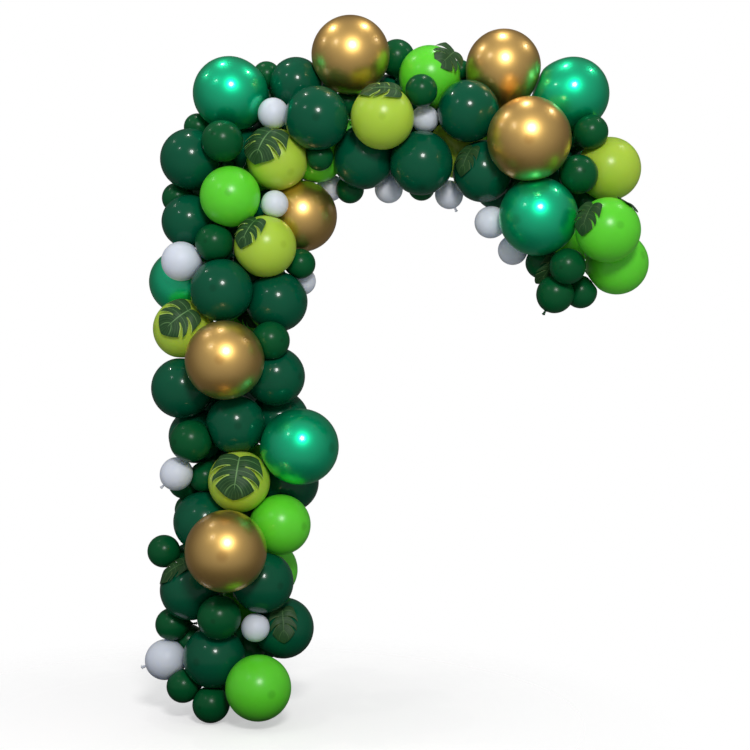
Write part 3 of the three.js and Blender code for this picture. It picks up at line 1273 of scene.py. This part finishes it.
class Garland:
    """The whole garland: the strip, the balloons tied and glued to it, and the leaves."""

    def __init__(self) -> None:
        """Measures the frame and places every balloon."""
        self.route = StripRoute.from_frame()
        self.large = large_balloons(self.route)
        self.small = small_balloons(self.route, self.large)

    def build(self) -> None:
        """Makes every piece and reports it."""
        PunchedStrip(self.route).build()
        log.info("punched strip: %.2f m", self.route.stations[-1])
        group = stretched_latex_group()
        latexes = {kind: finish.material(kind.value, group) for kind, finish in FINISHES.items()}
        everyone = self.large + self.small
        for ball in everyone:
            ball.build(everyone, latexes[ball.latex])
            log.info("%s: radius %.0f mm at %s", ball.name, ball.radius * 1000, ball.centre.round(3))
        hosts = {ball.name: ball for ball in everyone}
        fresh, faded = FRESH_LEAF.material("leaf_fabric"), FADED_LEAF.material("leaf_fabric_faded")
        for number, place in enumerate(LEAF_PLACES, start=1):
            leaf = MonsteraLeaf(f"monstera_leaf_{number}", place, hosts[place.host])
            leaf.build(faded if place.faded else fresh)
            log.info("%s on %s", leaf.name, place.host)


@dataclass
class Studio:
    """A pale floor, soft lights and the camera.

    The camera sees frame_height from top to bottom, in the plane frame_forward before the strip.
    """

    floor_gap: float = 0.03
    floor_size: float = 24.0
    floor_around: int = 48
    ceiling_lights: int = 4
    ceiling_pitch: float = 1.2
    view_distance: float = 5.0
    view_left: float = 0.073
    view_down: float = 0.037
    frame_height: float = 2.625
    frame_forward: float = 0.04

    def floor(self) -> None:
        """Lays a pale floor just below the garland, fading into the background far away."""
        around = self.floor_around
        radius = np.linspace(0.0, self.floor_size, 25)[1:]
        angle = np.linspace(0.0, 2 * np.pi, around, endpoint=False)
        ring = np.stack([np.cos(angle), np.sin(angle), np.zeros_like(angle)], axis=-1)
        middle = np.array([0.0, 0.0, cad_bounds[0][2] - self.floor_gap])
        rings = radius[:, None, None] * ring[None] + middle
        index = np.arange(rings.shape[0] * around).reshape(-1, around)
        after = np.roll(index, -1, axis=1)
        quads = np.stack([index[:-1], index[1:], after[1:], after[:-1]], axis=-1).reshape(-1, 4)
        hub = np.stack([np.full(around, index.size), index[0], after[0]], axis=-1)
        points = np.concatenate([rings.reshape(-1, 3), middle[None]])
        uvs = [np.zeros((len(quads), 4, 2)), np.zeros((len(hub), 3, 2))]
        floor = Surface(points, [quads, hub], uvs).to_object("studio_floor")
        floor.data.materials.append(self.floor_material())

    def floor_material(self) -> bpy.types.Material:
        """Makes the floor's pale paint, which fades out round the foot of the column.

        Returns:
            The material.
        """
        made, nodes, shader = new_material("studio_floor")
        offset = nodes.add("ShaderNodeVectorMath", operation="SUBTRACT")
        nodes.feed(offset.inputs[0], nodes.add("ShaderNodeTexCoord").outputs["Object"])
        nodes.feed(offset.inputs[1], (cad_bounds[0][0] + 0.3, 0.0, cad_bounds[0][2]))
        length = nodes.add("ShaderNodeVectorMath", operation="LENGTH")
        nodes.feed(length.inputs[0], offset.outputs[0])
        seen = nodes.add("ShaderNodeLightPath").outputs["Is Camera Ray"]
        nodes.feed_each(shader, {
            "Base Color": nodes.blend(seen, (0.1, 0.1, 0.1, 1.0), (0.9, 0.9, 0.9, 1.0)),
            "Roughness": 0.7,
            "Specular IOR Level": 0.0,
            "Emission Color": (1.0, 1.0, 1.0, 1.0),
            "Emission Strength": nodes.math("MULTIPLY", seen, 0.42),
            "Alpha": nodes.span(length.outputs["Value"], 0.5, 1.6, 1.0, 0.0),
        })
        return made

    def light(self, name: str, place: tuple[float, float, float], target: tuple[float, float, float],
              size: float, power: float, colour: tuple[float, float, float]) -> None:
        """Adds a round soft light that looks at a point.

        Args:
            name: The light's name.
            place: Where it stands.
            target: What it looks at.
            size: Its width.
            power: Its strength in watts.
            colour: Its colour.
        """
        lamp = bpy.data.lights.new(name, "AREA")
        lamp.shape = "DISK"
        lamp.size = size
        lamp.energy = power
        lamp.color = colour
        stand = bpy.data.objects.new(name, lamp)
        stand.location = place
        stand.rotation_euler = facing(unit(np.array(place) - np.array(target)))
        bpy.context.scene.collection.objects.link(stand)

    def lights(self) -> None:
        """Sets a soft key above the viewer, a weaker one at the upper left and small ceiling spots."""
        self.light("key", (0.5, -6.0, 2.0), (0.0, 0.0, -0.8), 1.35, 220.0, (1.0, 0.985, 0.97))
        self.light("left", (-3.6, -3.7, 2.6), (0.0, 0.0, -0.8), 0.5, 14.0, (0.97, 0.99, 1.0))
        for number in range(self.ceiling_lights):
            x = -2.05 + self.ceiling_pitch * number
            self.light(f"ceiling_{number}", (x, -0.1, 1.25), (x, -0.1, -1.0), 0.04, 2.6,
                       (1.0, 0.97, 0.9))

    def world(self) -> None:
        """Surrounds the garland with soft light, and with a dimmer room for its reflections.

        The viewer sees a plain pale background instead.
        """
        world = bpy.data.worlds.new("studio_world")
        bpy.context.scene.world = world
        world.use_nodes = True
        nodes = Nodes(world.node_tree)
        room = world.node_tree.nodes["Background"]
        out = world.node_tree.nodes["World Output"]
        towards_key = nodes.add("ShaderNodeVectorMath", operation="DOT_PRODUCT")
        nodes.feed(towards_key.inputs[0], nodes.add("ShaderNodeTexCoord").outputs["Generated"])
        nodes.feed(towards_key.inputs[1], (0.0, -0.9, 0.44))
        near = nodes.span(towards_key.outputs["Value"], -0.45, 0.75)
        mirrored = nodes.blend(near, (0.09, 0.09, 0.088, 1.0), (0.35, 0.35, 0.35, 1.0))
        seen = nodes.add("ShaderNodeLightPath")
        nodes.feed(room.inputs["Color"],
                   nodes.blend(seen.outputs["Is Diffuse Ray"], mirrored, (0.36, 0.36, 0.37, 1.0)))
        plain = nodes.add("ShaderNodeBackground")
        nodes.feed(plain.inputs["Color"], (1.0, 1.0, 1.0, 1.0))
        mix = nodes.add("ShaderNodeMixShader")
        nodes.feed(mix.inputs[0], seen.outputs["Is Camera Ray"])
        nodes.feed(mix.inputs[1], room.outputs[0])
        nodes.feed(mix.inputs[2], plain.outputs[0])
        nodes.feed(out.inputs["Surface"], mix.outputs[0])

    def camera(self) -> None:
        """Stands the camera before the garland's face, a little left of its middle and below it."""
        low, high = cad_bounds
        middle = [(low[axis] + high[axis]) / 2 for axis in range(3)]
        view = bpy.data.cameras.new("camera")
        view.sensor_width = 36.0
        view.lens = view.sensor_width * (self.view_distance - self.frame_forward) / self.frame_height
        stand = bpy.data.objects.new("camera", view)
        stand.location = (middle[0] - self.view_left, -self.view_distance, middle[2] - self.view_down)
        stand.rotation_euler = (math.pi / 2, 0.0, 0.0)
        bpy.context.scene.collection.objects.link(stand)
        bpy.context.scene.camera = stand

    def build(self) -> None:
        """Sets up the floor, the lights, the background and the camera."""
        self.floor()
        self.lights()
        self.world()
        self.camera()
        bpy.context.scene.view_settings.view_transform = "Standard"


def main() -> None:
    """Builds the studio and the garland."""
    logging.basicConfig(level=logging.INFO, format="%(message)s")
    Studio().build()
    Garland().build()
    bpy.context.view_layer.update()


if __name__ == "__main__":
    main()
